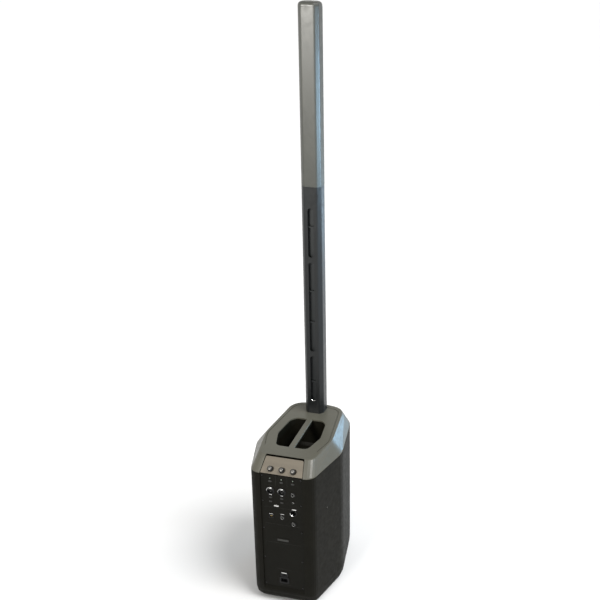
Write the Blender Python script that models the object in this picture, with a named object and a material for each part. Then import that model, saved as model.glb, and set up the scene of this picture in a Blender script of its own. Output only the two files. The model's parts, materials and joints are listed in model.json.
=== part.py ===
"""Column PA system: a powered bass cabinet with a three-channel rear mixer, a plug-in
column extension and an eight-driver line array. Units are metres, +Z is up, the control
panel faces +Y and the listeners are at -Y. The origin is on the floor under the centre."""

from math import cos, pi, radians, sin, tan

import bmesh
import bpy
from mathutils import Matrix, Vector

MM = 0.001
GAP = 0.3 * MM  # clearance between pieces that meet

# ---- driving dimensions ----------------------------------------------------------------
HALF_WIDTH = 156.5 * MM  # corner of the plan outline at its widest, before rounding
REAR_Y = 220 * MM
FRONT_Y = -222 * MM
WIDEST_Y = 34 * MM
FOOT_HEIGHT = 10 * MM
SEAM_Z = 528 * MM  # cabinet below, top cap above
DECK_Z = 575 * MM  # flat top of the cap
WALL = 5 * MM
ROUND_STEPS = 5  # straight pieces in each rounded corner

DECK_REAR_Y = 172 * MM
DECK_FRONT_Y = -200 * MM
DECK_HALF_WIDTH = 119 * MM

PANEL_HALF = 73.5 * MM
PANEL_BOTTOM = 70 * MM
PANEL_FACE_Y = 216.5 * MM
PANEL_THICK = 3 * MM
COLUMN_PITCH = 39.8 * MM  # spacing of the three channel strips on the control panel

KNOB_PLATE_TILT = radians(45)
KNOB_PLATE_LENGTH = 58 * MM
KNOB_PLATE_TOP_HALF = 65.6 * MM
KNOB_PLATE_FOOT = Vector((0, 217 * MM, 529.5 * MM))
KNOB_UP_SLOPE = 15.5 * MM
KNOB_RADIUS = 8.5 * MM

COLUMN_REAR_Y = -124 * MM
COLUMN_DEPTH = 68 * MM
COLUMN_HALF = 34.5 * MM
COLUMN_WALL = 3 * MM
COLUMN_FOOT_Z = DECK_Z + GAP
JOINT_Z = 1420 * MM
TOP_Z = 2000 * MM
END_CAP_THICK = 15 * MM
END_CAP_DOME = 13 * MM  # radius of the top's rounded edge
SLOT_HALF = 10 * MM
SLOT_BOTTOM, SLOT_TOP = 626 * MM, 1347 * MM
RIB_PITCH = 116 * MM
BRIDGE_HALF = 9.5 * MM
BRIDGES = (813 * MM, 1165 * MM)

WOOFER_Z = 320 * MM
BAFFLE_FRONT_Y = -197 * MM
BAFFLE_THICK = 12 * MM
PORT_Z = 104 * MM
PORT_RADIUS = 31 * MM

DRIVER_COUNT = 8
DRIVER_PITCH = 62 * MM
FIRST_DRIVER_Z = 1492 * MM
ARRAY_BAFFLE_Y = -176 * MM

TO_REAR = (-pi / 2, 0, 0)  # turns local +Z to +Y
TO_FRONT = (pi / 2, 0, 0)  # turns local +Z to -Y
TO_SLOPE = (KNOB_PLATE_TILT, 0, pi)  # turns +Z to the knob plate's normal, +Y up the slope


# ---- mesh tools ------------------------------------------------------------------------
def clear_scene():
    for old in list(bpy.data.objects):
        bpy.data.objects.remove(old)


def add_object(name, shape, look=None):
    """Turns a bmesh into an object, with its faces turned outwards."""
    bmesh.ops.recalc_face_normals(shape, faces=shape.faces)
    mesh = bpy.data.meshes.new(name)
    shape.to_mesh(mesh)
    shape.free()
    made = bpy.data.objects.new(name, mesh)
    bpy.context.scene.collection.objects.link(made)
    if look:
        mesh.materials.append(look)
    mesh.shade_smooth()
    mesh.set_sharp_from_angle(angle=radians(30))
    return made


def place(made, location, turn=(0, 0, 0)):
    made.location = location
    made.rotation_euler = turn
    return made


def rounded(corners, steps=ROUND_STEPS):
    """A closed outline with its corners rounded. Each corner is (x, y, radius)."""
    points = []
    count = len(corners)
    for index, (x, y, radius) in enumerate(corners):
        here = Vector((x, y))
        before = (Vector(corners[index - 1][:2]) - here).normalized()
        after = (Vector(corners[(index + 1) % count][:2]) - here).normalized()
        if radius <= 0:
            points.append(here)
            continue
        half = before.angle(after) / 2
        centre = here + (before + after).normalized() * (radius / sin(half))
        start = here + before * (radius / tan(half))
        arm = start - centre
        sweep = (here + after * (radius / tan(half)) - centre).angle_signed(arm)
        for step in range(steps + 1):
            turned = arm.copy()
            turned.rotate(Matrix.Rotation(sweep * step / steps, 2))
            points.append(centre + turned)
    return points


def mirrored(half):
    """Corners of a shape with the same left and right side, from its +X corners, front to rear."""
    return [*half, *[(-x, y, radius) for x, y, radius in reversed(half) if x > 0]]


def grown(outline, distance):
    """The outline moved outwards (or inwards, if negative) by a distance, point by point."""
    moved = []
    count = len(outline)
    for index, point in enumerate(outline):
        along = (point - outline[index - 1]).normalized()
        onward = (outline[(index + 1) % count] - point).normalized()
        normal = Vector((along.y, -along.x)) + Vector((onward.y, -onward.x))
        normal.normalize()
        share = max(0.5, normal.dot(Vector((along.y, -along.x))))
        moved.append(point + normal * (distance / share))
    return moved


def level(outline, z):
    return [Vector((p.x, p.y, z)) for p in outline]


def loft(rings, closed=False):
    """Skins a stack of rings. It caps both ends, or joins the last ring to the first if closed."""
    shape = bmesh.new()
    rows = [[shape.verts.new(p) for p in ring] for ring in rings]
    pairs = list(zip(rows, rows[1:]))
    if closed:
        pairs.append((rows[-1], rows[0]))
    for low, high in pairs:
        for i in range(len(low)):
            j = (i + 1) % len(low)
            shape.faces.new((low[i], low[j], high[j], high[i]))
    if not closed:
        shape.faces.new(list(reversed(rows[0])))
        shape.faces.new(rows[-1])
    return shape


def prism(outline, axis, start, end):
    """A flat outline drawn out along X, Y or Z. It holds the other two coordinates in their order."""
    spots = {
        "X": lambda p, d: (d, p[0], p[1]),
        "Y": lambda p, d: (p[0], d, p[1]),
        "Z": lambda p, d: (p[0], p[1], d),
    }[axis]
    return loft([[spots(p, d) for p in outline] for d in (start, end)])


def block(low, high):
    """A plain box between two corners."""
    flat = [(low[0], low[1]), (high[0], low[1]), (high[0], high[1]), (low[0], high[1])]
    return prism(flat, "Z", low[2], high[2])


def lathe(profile, segments=20):
    """A profile of (radius, height) turned round Z. A radius of 0 is a point on the axis."""
    shape = bmesh.new()
    rows = []
    for radius, height in profile:
        if radius == 0:
            rows.append([shape.verts.new((0, 0, height))])
            continue
        angles = [2 * pi * i / segments for i in range(segments)]
        rows.append([shape.verts.new((radius * cos(a), radius * sin(a), height)) for a in angles])
    onward = rows[1:]
    if profile[0][0] > 0:
        onward = [*onward, rows[0]]
    for low, high in zip(rows, onward):
        for i in range(segments):
            j = (i + 1) % segments
            corners = [low[i % len(low)], low[j % len(low)], high[j % len(high)], high[i % len(high)]]
            shape.faces.new(list(dict.fromkeys(corners)))
    return shape


def add_to(shape, other):
    """Puts a second, separate shape into the first, for a cutter made of several bodies."""
    spare = bpy.data.meshes.new("spare")
    other.to_mesh(spare)
    other.free()
    shape.from_mesh(spare)
    bpy.data.meshes.remove(spare)


def boolean(target, shape, operation="DIFFERENCE", location=(0, 0, 0), turn=(0, 0, 0)):
    """Cuts a shape from the target, or joins it on. The helper stays in the file, out of renders."""
    helper = add_object(f"{target.name}_helper", shape)
    place(helper, location, turn)
    helper.hide_render = True
    helper.display_type = "WIRE"
    step = target.modifiers.new(operation.lower(), "BOOLEAN")
    step.operation = operation
    step.object = helper
    return target


def look(name, colour, roughness, metallic=0.0):
    made = bpy.data.materials.new(name)
    made.use_nodes = True
    shader = made.node_tree.nodes["Principled BSDF"]
    shader.inputs["Base Color"].default_value = (*colour, 1)
    shader.inputs["Roughness"].default_value = roughness
    shader.inputs["Metallic"].default_value = metallic
    made.diffuse_color = (*colour, 1)
    return made


# ---- shared outlines -------------------------------------------------------------------
def plan(rear_y=REAR_Y, half=HALF_WIDTH, front_y=FRONT_Y):
    """The cabinet's plan: widest near the middle, and narrower to the rear than to the front."""
    share = half / HALF_WIDTH
    return rounded(
        mirrored([
            (0, front_y, 200 * MM),
            (120 * MM * share, front_y + 16 * MM, 75 * MM),
            (half, WIDEST_Y, 110 * MM),
            (107 * MM * share, rear_y, 34 * MM),
        ])
    )


def deck_plan(share):
    """The cap's outline between the seam (share 0) and the edge of the deck (share 1)."""
    seam = [(0, FRONT_Y, 200 * MM), (120 * MM, FRONT_Y + 16 * MM, 75 * MM),
            (HALF_WIDTH, WIDEST_Y, 110 * MM), (107 * MM, REAR_Y, 34 * MM)]
    deck = [(0, DECK_FRONT_Y, 120 * MM), (96 * MM, DECK_FRONT_Y + 15 * MM, 52 * MM),
            (DECK_HALF_WIDTH, WIDEST_Y, 90 * MM), (97 * MM, DECK_REAR_Y, 30 * MM)]
    between = [tuple(a + (b - a) * share for a, b in zip(s, d)) for s, d in zip(seam, deck)]
    return rounded(mirrored(between))


def groove_plan():
    """The line of the decorative groove on the deck."""
    return rounded(
        mirrored([
            (0, -182 * MM, 60 * MM),
            (85 * MM, -169 * MM, 36 * MM),
            (113 * MM, 46 * MM, 90 * MM),
            (85 * MM, 150 * MM, 20 * MM),
        ])
    )


def hand_hole():
    """The opening in the deck: an octagon that follows the plan."""
    return rounded(
        mirrored([
            (49 * MM, -79 * MM, 20 * MM),
            (66 * MM, -58 * MM, 22 * MM),
            (77 * MM, 34 * MM, 40 * MM),
            (56 * MM, 114 * MM, 20 * MM),
        ]),
        steps=3,
    )


def column_section(inset=0.0):
    """The column seen from above: a flat chamfered back and a blunt nose."""
    rear, front = COLUMN_REAR_Y, COLUMN_REAR_Y - COLUMN_DEPTH
    corners = mirrored([
        (0, front, 30 * MM),
        (23 * MM, front + 4 * MM, 8 * MM),
        (COLUMN_HALF, rear - 50 * MM, 12 * MM),
        (COLUMN_HALF, rear - 14 * MM, 9 * MM),
        (COLUMN_HALF - 12 * MM, rear, 9 * MM),
    ])
    spots = grown([Vector((x, y)) for x, y, _ in corners], -inset)
    radii = [max(MM, radius - inset) for _, _, radius in corners]
    return rounded([(p.x, p.y, radius) for p, radius in zip(spots, radii)], steps=3)


def racetrack(half_width, half_height, steps=8):
    """A stadium in the XZ plane round the woofer's axis, as (x, z) points."""
    straight = half_height - half_width
    points = []
    for side in (1, -1):
        for step in range(steps + 1):
            angle = pi * step / steps
            points.append((side * half_width * cos(angle),
                           side * (straight + half_width * sin(angle)) + WOOFER_Z))
    return points


def upright(points, y):
    return [Vector((x, y, z)) for x, z in points]


# ---- cabinet ---------------------------------------------------------------------------
def cabinet_inside(inset, top):
    """The cabinet's outer form moved inwards: it narrows towards the floor."""
    return loft([
        level(grown(plan(201 * MM, 150 * MM, -212 * MM), -inset), FOOT_HEIGHT + 6 * MM),
        level(grown(plan(212 * MM, 155 * MM, -219 * MM), -inset), 26 * MM),
        level(grown(plan(218.5 * MM, HALF_WIDTH, FRONT_Y), -inset), 46 * MM),
        level(grown(plan(), -inset), PANEL_BOTTOM + 2 * MM),
        level(grown(plan(), -inset), top),
    ])


def make_cabinet(black):
    top = SEAM_Z - GAP
    outer = loft([
        level(plan(201 * MM, 150 * MM, -212 * MM), FOOT_HEIGHT),
        level(plan(212 * MM, 155 * MM, -219 * MM), 24 * MM),
        level(plan(218.5 * MM, HALF_WIDTH, FRONT_Y), 46 * MM),
        level(plan(), PANEL_BOTTOM + 2 * MM),
        level(plan(), top),
    ])
    cabinet = add_object("cabinet_shell", outer, black)
    boolean(cabinet, cabinet_inside(WALL, top + 20 * MM))
    boolean(cabinet, block((-80 * MM, 204 * MM, 34 * MM), (80 * MM, 215.5 * MM, 69.5 * MM)), "UNION")
    sill = [(214.2 * MM, PANEL_BOTTOM), (219.6 * MM, 52 * MM), (240 * MM, 52 * MM), (240 * MM, PANEL_BOTTOM)]
    boolean(cabinet, prism(sill, "X", -PANEL_HALF - GAP, PANEL_HALF + GAP))
    edge = PANEL_HALF + GAP
    boolean(cabinet, block((-edge, 190 * MM, PANEL_BOTTOM), (edge, 240 * MM, top + 10 * MM)))
    edge = 97 * MM + GAP
    boolean(cabinet, block((-edge, -240 * MM, 60 * MM - GAP), (edge, -196 * MM, 500 * MM + GAP)))
    return cabinet


def band(outline, thickness, low, high):
    """A closed upright band of sheet that follows an outline on its inner side."""
    inside = grown(outline, -thickness)
    return loft([level(outline, low), level(outline, high), level(inside, high), level(inside, low)], closed=True)


def make_front(black, steel):
    grille = add_object("front_grille", band(plan(), 2 * MM, 60 * MM, 500 * MM), steel)
    boolean(grille, block((-97 * MM, -240 * MM, 50 * MM), (97 * MM, -150 * MM, 510 * MM)), "INTERSECT")
    rear = BAFFLE_FRONT_Y + BAFFLE_THICK
    baffle = add_object(
        "front_baffle", block((-93 * MM, BAFFLE_FRONT_Y, 24 * MM), (93 * MM, rear, 488 * MM)), black
    )
    boolean(baffle, cabinet_inside(WALL + GAP, 500 * MM), "INTERSECT")
    boolean(baffle, loft([upright(racetrack(82 * MM, 156 * MM), y) for y in (rear + MM, BAFFLE_FRONT_Y - MM)]))
    boolean(baffle, lathe([(0, -20 * MM), (PORT_RADIUS + 3.5 * MM, -20 * MM),
                           (PORT_RADIUS + 3.5 * MM, 20 * MM), (0, 20 * MM)], 24),
            location=(0, BAFFLE_FRONT_Y, PORT_Z), turn=TO_FRONT)
    port = lathe([
        (PORT_RADIUS, -115 * MM), (PORT_RADIUS + 3 * MM, -115 * MM), (PORT_RADIUS + 3 * MM, GAP),
        (PORT_RADIUS + 11 * MM, GAP), (PORT_RADIUS + 11 * MM, 3 * MM), (PORT_RADIUS + 5 * MM, 4 * MM),
        (PORT_RADIUS, MM),
    ], 24)
    place(add_object("reflex_port", port, black), (0, BAFFLE_FRONT_Y, PORT_Z), TO_FRONT)


def make_woofer(metal, cone_look, rubber, magnet_look):
    seat = BAFFLE_FRONT_Y - GAP
    basket = loft([
        upright(racetrack(90 * MM, 164 * MM), seat),
        upright(racetrack(90 * MM, 164 * MM), seat - 3 * MM),
        upright(racetrack(79 * MM, 153 * MM), seat - 3 * MM),
        upright(racetrack(78 * MM, 152 * MM), seat + 24 * MM),
        upright(racetrack(46 * MM, 60 * MM), seat + 70 * MM),
        upright(racetrack(50 * MM, 64 * MM), seat + 74 * MM),
        upright(racetrack(81 * MM, 155 * MM), seat + 27 * MM),
        upright(racetrack(81 * MM, 155 * MM), seat),
    ], closed=True)
    add_object("woofer_basket", basket, metal)
    cone = loft([
        upright(racetrack(12 * MM, 14 * MM), seat + 38 * MM),
        upright(racetrack(24 * MM, 26 * MM), seat + 42 * MM),
        upright(racetrack(30 * MM, 40 * MM), seat + 46 * MM),
        upright(racetrack(66 * MM, 140 * MM), seat - MM),
        upright(racetrack(68 * MM, 142 * MM), seat + MM),
        upright(racetrack(32 * MM, 42 * MM), seat + 49 * MM),
        upright(racetrack(26 * MM, 28 * MM), seat + 52 * MM),
    ])
    add_object("woofer_cone", cone, cone_look)
    surround = loft([
        upright(racetrack(68.4 * MM, 142.4 * MM), seat - 2 * MM),
        upright(racetrack(69.5 * MM, 143.5 * MM), seat - 5.5 * MM),
        upright(racetrack(73.5 * MM, 147.5 * MM), seat - 7.5 * MM),
        upright(racetrack(77.5 * MM, 151.5 * MM), seat - 5.5 * MM),
        upright(racetrack(78.6 * MM, 152.6 * MM), seat - 2 * MM),
        upright(racetrack(76.5 * MM, 150.5 * MM), seat - 2 * MM),
        upright(racetrack(73.5 * MM, 147.5 * MM), seat - 5 * MM),
        upright(racetrack(70.5 * MM, 144.5 * MM), seat - 2 * MM),
    ], closed=True)
    add_object("woofer_surround", surround, rubber)
    magnet = lathe([
        (0, 0), (26 * MM, 0), (26 * MM, 4 * MM), (62 * MM, 4 * MM), (64 * MM, 6 * MM),
        (64 * MM, 34 * MM), (58 * MM, 40 * MM), (0, 40 * MM),
    ], 24)
    place(add_object("woofer_magnet", magnet, magnet_look), (0, seat + 75 * MM, WOOFER_Z), TO_REAR)


def make_feet(rubber):
    spots = {"rear_right": (-78, 150), "rear_left": (78, 150),
             "front_right": (-100, -150), "front_left": (100, -150)}
    profile = [(0, 0), (12 * MM, 0), (14 * MM, 2 * MM), (13 * MM, FOOT_HEIGHT - GAP), (0, FOOT_HEIGHT - GAP)]
    for name, (x, y) in spots.items():
        place(add_object(f"foot_{name}", lathe(profile, 16), rubber), (x * MM, y * MM, 0))


# ---- top cap, handle and column socket -------------------------------------------------
def make_cap(grey):
    rise = [(0.03, SEAM_Z), (0.06, SEAM_Z + 3 * MM), (0.78, DECK_Z - 9.5 * MM), (0.90, DECK_Z - 4 * MM),
            (0.96, DECK_Z - 1.2 * MM), (1.03, DECK_Z)]
    cap = add_object("top_cap", loft([level(deck_plan(share), z) for share, z in rise]), grey)
    hollow = loft([
        level(grown(deck_plan(0), -WALL), SEAM_Z - 10 * MM),
        level(grown(deck_plan(0.05), -WALL), SEAM_Z + 2 * MM),
        level(grown(deck_plan(0.80), -WALL), DECK_Z - 15 * MM),
        level(grown(deck_plan(0.92), -WALL), DECK_Z - 8 * MM),
        level(grown(deck_plan(1.0), -8 * MM), DECK_Z - 5 * MM),
    ])
    boolean(cap, hollow)
    boolean(cap, loft([level(hand_hole(), z) for z in (DECK_Z - 30 * MM, DECK_Z + 10 * MM)]))
    bar = prism(rounded(mirrored([(10.5 * MM, DECK_Z - 4.9 * MM, 0), (10.5 * MM, DECK_Z - 0.02 * MM, 2.5 * MM)]),
                        steps=3), "Y", -84 * MM, 118 * MM)
    boolean(cap, bar, "UNION")
    boolean(cap, loft([level(column_section(2.7 * MM), z) for z in (DECK_Z - 30 * MM, DECK_Z + 10 * MM)]))
    cut_groove(cap)
    cut_knob_pocket(cap)
    return cap


def cut_groove(cap):
    """The decorative groove round the sides and front of the deck. It stops short of the rear."""
    outer, inner = groove_plan(), grown(groove_plan(), -2.6 * MM)
    rear_end = 118 * MM
    turn = next(i for i, p in enumerate(outer) if p.x < 0 and p.y < rear_end <= outer[i - 1].y)
    outer, inner = outer[turn:] + outer[:turn], inner[turn:] + inner[:turn]
    keep = [i for i, p in enumerate(outer) if p.y < rear_end]
    ends = [(sign * 94 * MM, rear_end) for sign in (1, -1)]
    strip = [(outer[i].x, outer[i].y) for i in keep] + [ends[0], (ends[0][0] - 2.6 * MM, rear_end)]
    strip += [(inner[i].x, inner[i].y) for i in reversed(keep)]
    strip += [(ends[1][0] + 2.6 * MM, rear_end), ends[1]]
    boolean(cap, prism(strip, "Z", DECK_Z - 2.6 * MM, DECK_Z + 5 * MM))


def cut_knob_pocket(cap):
    """The sloping recess for the knob plate: wider at its foot, open to the rear."""
    top_half, foot_half, clear = KNOB_PLATE_TOP_HALF, PANEL_HALF, 1.8 * MM
    flat = [(-foot_half - clear, -30 * MM), (foot_half + clear, -30 * MM),
            (foot_half + clear, 0), (top_half + clear, KNOB_PLATE_LENGTH + 6.5 * MM),
            (-top_half - clear, KNOB_PLATE_LENGTH + 6.5 * MM), (-foot_half - clear, 0)]
    corners = [(x, y, r) for (x, y), r in zip(flat, (0, 0, 0, 5 * MM, 5 * MM, 0))]
    pocket = prism([(p.x, p.y) for p in rounded(corners, steps=3)], "Z", -40 * MM, 40 * MM)
    boolean(cap, pocket, location=KNOB_PLATE_FOOT, turn=TO_SLOPE)


def slope_point(x, up, out):
    """A point on the knob plate: sideways, up the slope, and out along its normal."""
    rise = Vector((0, -cos(KNOB_PLATE_TILT), sin(KNOB_PLATE_TILT)))
    normal = Vector((0, sin(KNOB_PLATE_TILT), cos(KNOB_PLATE_TILT)))
    return KNOB_PLATE_FOOT + Vector((x, 0, 0)) + rise * up + normal * out


def make_handle(black):
    lower = prism(rounded(mirrored([(8.5 * MM, DECK_Z - 24 * MM, 6 * MM), (10.5 * MM, DECK_Z - 4.9 * MM - GAP, 0)]),
                          steps=3), "Y", -76 * MM, 111 * MM)
    add_object("handle_grip", lower, black)
    rim, floor_z = DECK_Z - 5 * MM - GAP, DECK_Z - 105 * MM
    base = hand_hole()
    cup = loft([
        level(grown(base, -10 * MM), floor_z),
        level(grown(base, -3 * MM), floor_z + 10 * MM),
        level(grown(base, 0.3 * MM), rim),
        level(grown(base, 6 * MM), rim),
        level(grown(base, 6 * MM), rim - 3 * MM),
        level(grown(base, 2.8 * MM), rim - 3 * MM),
        level(base, floor_z + 7 * MM),
        level(grown(base, -9 * MM), floor_z - 3 * MM),
    ])
    add_object("handle_cup", cup, black)


def make_socket(black):
    inner, outer = column_section(5.5 * MM), column_section(3 * MM)
    top, bottom = DECK_Z - MM, DECK_Z - 80 * MM
    socket = add_object("column_socket", loft([level(outer, bottom), level(outer, top)]), black)
    boolean(socket, loft([level(inner, bottom + 12 * MM), level(inner, top + 10 * MM)]))


def make_knob_plate(taupe):
    top_half = KNOB_PLATE_TOP_HALF
    flat = [(-PANEL_HALF, 0, 0), (PANEL_HALF, 0, 0),
            (top_half, KNOB_PLATE_LENGTH, 5 * MM), (-top_half, KNOB_PLATE_LENGTH, 5 * MM)]
    plate = add_object("knob_plate", prism([(p.x, p.y) for p in rounded(flat, steps=3)], "Z", -3 * MM, 0), taupe)
    place(plate, KNOB_PLATE_FOOT, TO_SLOPE)
    for channel in range(3):
        x = (1 - channel) * COLUMN_PITCH
        hole = lathe([(0, -9 * MM), (4 * MM, -9 * MM), (4 * MM, -1.5 * MM), (10 * MM, -1.5 * MM),
                      (10 * MM, 5 * MM), (0, 5 * MM)], 24)
        boolean(plate, hole, location=slope_point(x, KNOB_UP_SLOPE, 0), turn=TO_SLOPE)


def make_knobs(knob_look, metal, board_look):
    board = add_object(
        "encoder_board",
        prism([(-62 * MM, 8 * MM), (62 * MM, 8 * MM), (62 * MM, 34 * MM), (-62 * MM, 34 * MM)],
              "Z", -17 * MM, -15.4 * MM), board_look)
    place(board, KNOB_PLATE_FOOT, TO_SLOPE)
    for channel in range(3):
        x = (1 - channel) * COLUMN_PITCH
        body = block((-6 * MM, -6 * MM, -16 * MM), (6 * MM, 6 * MM, -7.6 * MM))
        boolean(board, body, "UNION", location=slope_point(x, KNOB_UP_SLOPE, 0), turn=TO_SLOPE)
        shaft = lathe([(0, -5.6 * MM), (3 * MM, -5.6 * MM), (3 * MM, 10 * MM), (0, 10 * MM)], 16)
        place(add_object(f"encoder_shaft_{channel + 1}", shaft, metal),
              slope_point(x, KNOB_UP_SLOPE, 0), TO_SLOPE)
        place(add_object(f"channel_knob_{channel + 1}", knob_with_bore(), knob_look),
              slope_point(x, KNOB_UP_SLOPE, 0), TO_SLOPE)


def knob_with_bore():
    """A knob with a blind bore for its shaft, turned as one profile from axis to axis."""
    bore = 3 * MM + GAP
    return lathe([
        (0, 11.4 * MM), (bore, 11.4 * MM), (bore, 0.8 * MM), (KNOB_RADIUS, 0.8 * MM),
        (KNOB_RADIUS - 0.5 * MM, 12 * MM), (KNOB_RADIUS - 1.6 * MM, 13.2 * MM), (0, 13.4 * MM),
    ], 24)


# ---- control panel ---------------------------------------------------------------------
def spot(x, z, out=0.0):
    return (x, PANEL_FACE_Y + out, z)


def round_hole(radius):
    return lathe([(0, -8 * MM), (radius, -8 * MM), (radius, 8 * MM), (0, 8 * MM)], 20)


def pad(half_x, half_z, radius, inner, outer):
    """A rounded rectangle that faces local +Z, between two depths."""
    corners = [(-half_x, -half_z, radius), (half_x, -half_z, radius),
               (half_x, half_z, radius), (-half_x, half_z, radius)]
    outline = rounded(corners, steps=3)
    return prism([(p.x, p.y) for p in outline], "Z", inner, outer)


COL_A, COL_B, COL_C = COLUMN_PITCH, 0.0, -COLUMN_PITCH
LIGHTS = [("light_pipe", i + 1, (1 - i) * COLUMN_PITCH, 512 * MM) for i in range(3)]
BUTTONS = [
    # name, x, z, half width, half height
    ("mute_button_1", COL_A, 500.5 * MM, 5.5 * MM, 2.6 * MM),
    ("mute_button_2", COL_B, 500.5 * MM, 5.5 * MM, 2.6 * MM),
    ("mute_button_3", COL_C, 500.5 * MM, 5.5 * MM, 2.6 * MM),
    ("tone_button_1", COL_A, 437 * MM, 5 * MM, 2.4 * MM),
    ("tone_button_2", COL_B, 437 * MM, 5 * MM, 2.4 * MM),
    ("reverb_button_1", COL_A, 421 * MM, 5 * MM, 2.4 * MM),
    ("reverb_button_2", COL_B, 421 * MM, 5 * MM, 2.4 * MM),
    ("phantom_button", COLUMN_PITCH / 2, 406 * MM, 8.5 * MM, 2.8 * MM),
]
SOCKETS = [
    # name, x, z, hole radius in the panel
    ("combo_jack_1", COL_A, 464 * MM, 13.2 * MM),
    ("combo_jack_2", COL_B, 464 * MM, 13.2 * MM),
    ("line_jack", COL_C, 459 * MM, 5.2 * MM),
    ("aux_jack", COL_C, 428 * MM, 3.4 * MM),
    ("xlr_output", COL_C, 386 * MM, 11.4 * MM),
    ("monitor_jack", COL_C, 341 * MM, 5.2 * MM),
    ("foot_switch_jack", COL_B, 362 * MM, 5.2 * MM),
]
MIXER_PORT = (COL_A, 361 * MM)
INLET = (0.0, 100 * MM)
SWITCH = (0.0, 124 * MM)


def make_panel(dark):
    top = SEAM_Z - 1.5 * MM
    panel = add_object(
        "control_panel",
        block((-PANEL_HALF, PANEL_FACE_Y - PANEL_THICK, PANEL_BOTTOM + GAP), (PANEL_HALF, PANEL_FACE_Y, top)),
        dark,
    )
    holes = bmesh.new()
    openings = [(round_hole(2.0 * MM), x, z) for _, _, x, z in LIGHTS]
    openings += [(pad(w + GAP, h + GAP, 1.2 * MM, -8 * MM, 8 * MM), x, z) for _, x, z, w, h in BUTTONS]
    openings += [(round_hole(radius), x, z) for _, x, z, radius in SOCKETS]
    openings.append((pad(8.3 * MM, 7.3 * MM, MM, -8 * MM, 8 * MM), *MIXER_PORT))
    openings.append((pad(14.3 * MM, 11.3 * MM, 3 * MM, -8 * MM, 8 * MM), *INLET))
    openings.append((pad(11.3 * MM, 7.3 * MM, MM, -8 * MM, 8 * MM), *SWITCH))
    for shape, x, z in openings:
        bmesh.ops.transform(shape, matrix=Matrix.Translation((x, -z, 0)), verts=shape.verts)
        add_to(holes, shape)
    boolean(panel, holes, location=(0, PANEL_FACE_Y, 0), turn=TO_REAR)


def make_lights(clear_look):
    profile = [(0, -4 * MM), (1.7 * MM, -4 * MM), (1.7 * MM, 0.4 * MM), (1.2 * MM, 0.9 * MM), (0, MM)]
    for name, number, x, z in LIGHTS:
        place(add_object(f"{name}_{number}", lathe(profile, 16), clear_look), spot(x, z), TO_REAR)


def make_buttons(button_look):
    for name, x, z, half_x, half_z in BUTTONS:
        shape = pad(half_x, half_z, 1.2 * MM, -5 * MM, 1.4 * MM)
        place(add_object(name, shape, button_look), spot(x, z), TO_REAR)


def make_sockets(black, metal):
    combo = [(0, -20), (3.3, -20), (3.3, -3), (9.2, -3), (9.2, -14), (11.2, -14), (11.2, 2.2), (14.4, 2.2),
             (15, 1.4), (15, 0.3), (12.8, 0.3), (12.8, -24), (0, -24)]
    jack = [(0, -18), (3.3, -18), (3.3, 2.6), (5.6, 2.6), (6.2, 2), (6.4, 1.2), (8.6, 1.0), (8.8, 0.3), (4.8, 0.3),
            (4.8, -21), (0, -21)]
    aux = [(0, -12), (1.8, -12), (1.8, 1.6), (3.8, 1.6), (4.2, 1.2), (4.2, 0.3), (3.1, 0.3), (3.1, -14), (0, -14)]
    output = [(0, -15), (9.4, -15), (9.4, 2.2), (12.4, 2.2), (13, 1.4), (13, 0.3), (11, 0.3), (11, -19), (0, -19)]
    profiles = {"combo_jack_1": combo, "combo_jack_2": combo, "line_jack": jack, "aux_jack": aux,
                "xlr_output": output, "monitor_jack": jack, "foot_switch_jack": jack}
    for name, x, z, _ in SOCKETS:
        shape = lathe([(r * MM, h * MM) for r, h in profiles[name]], 20)
        made = place(add_object(name, shape, metal if "jack" in name else black), spot(x, z), TO_REAR)
        if name == "xlr_output":
            add_pins(made, spot(x, z))


def add_pins(output, location):
    pins = bmesh.new()
    for angle in (0, 90, 180):
        pin = lathe([(0, -16 * MM), (1.2 * MM, -16 * MM), (1.2 * MM, -4 * MM), (0, -3.2 * MM)], 10)
        at = (4.8 * MM * cos(radians(angle)), 4.8 * MM * sin(radians(angle)), 0)
        bmesh.ops.transform(pin, matrix=Matrix.Translation(at), verts=pin.verts)
        add_to(pins, pin)
    boolean(output, pins, "UNION", location=location, turn=TO_REAR)


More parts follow.
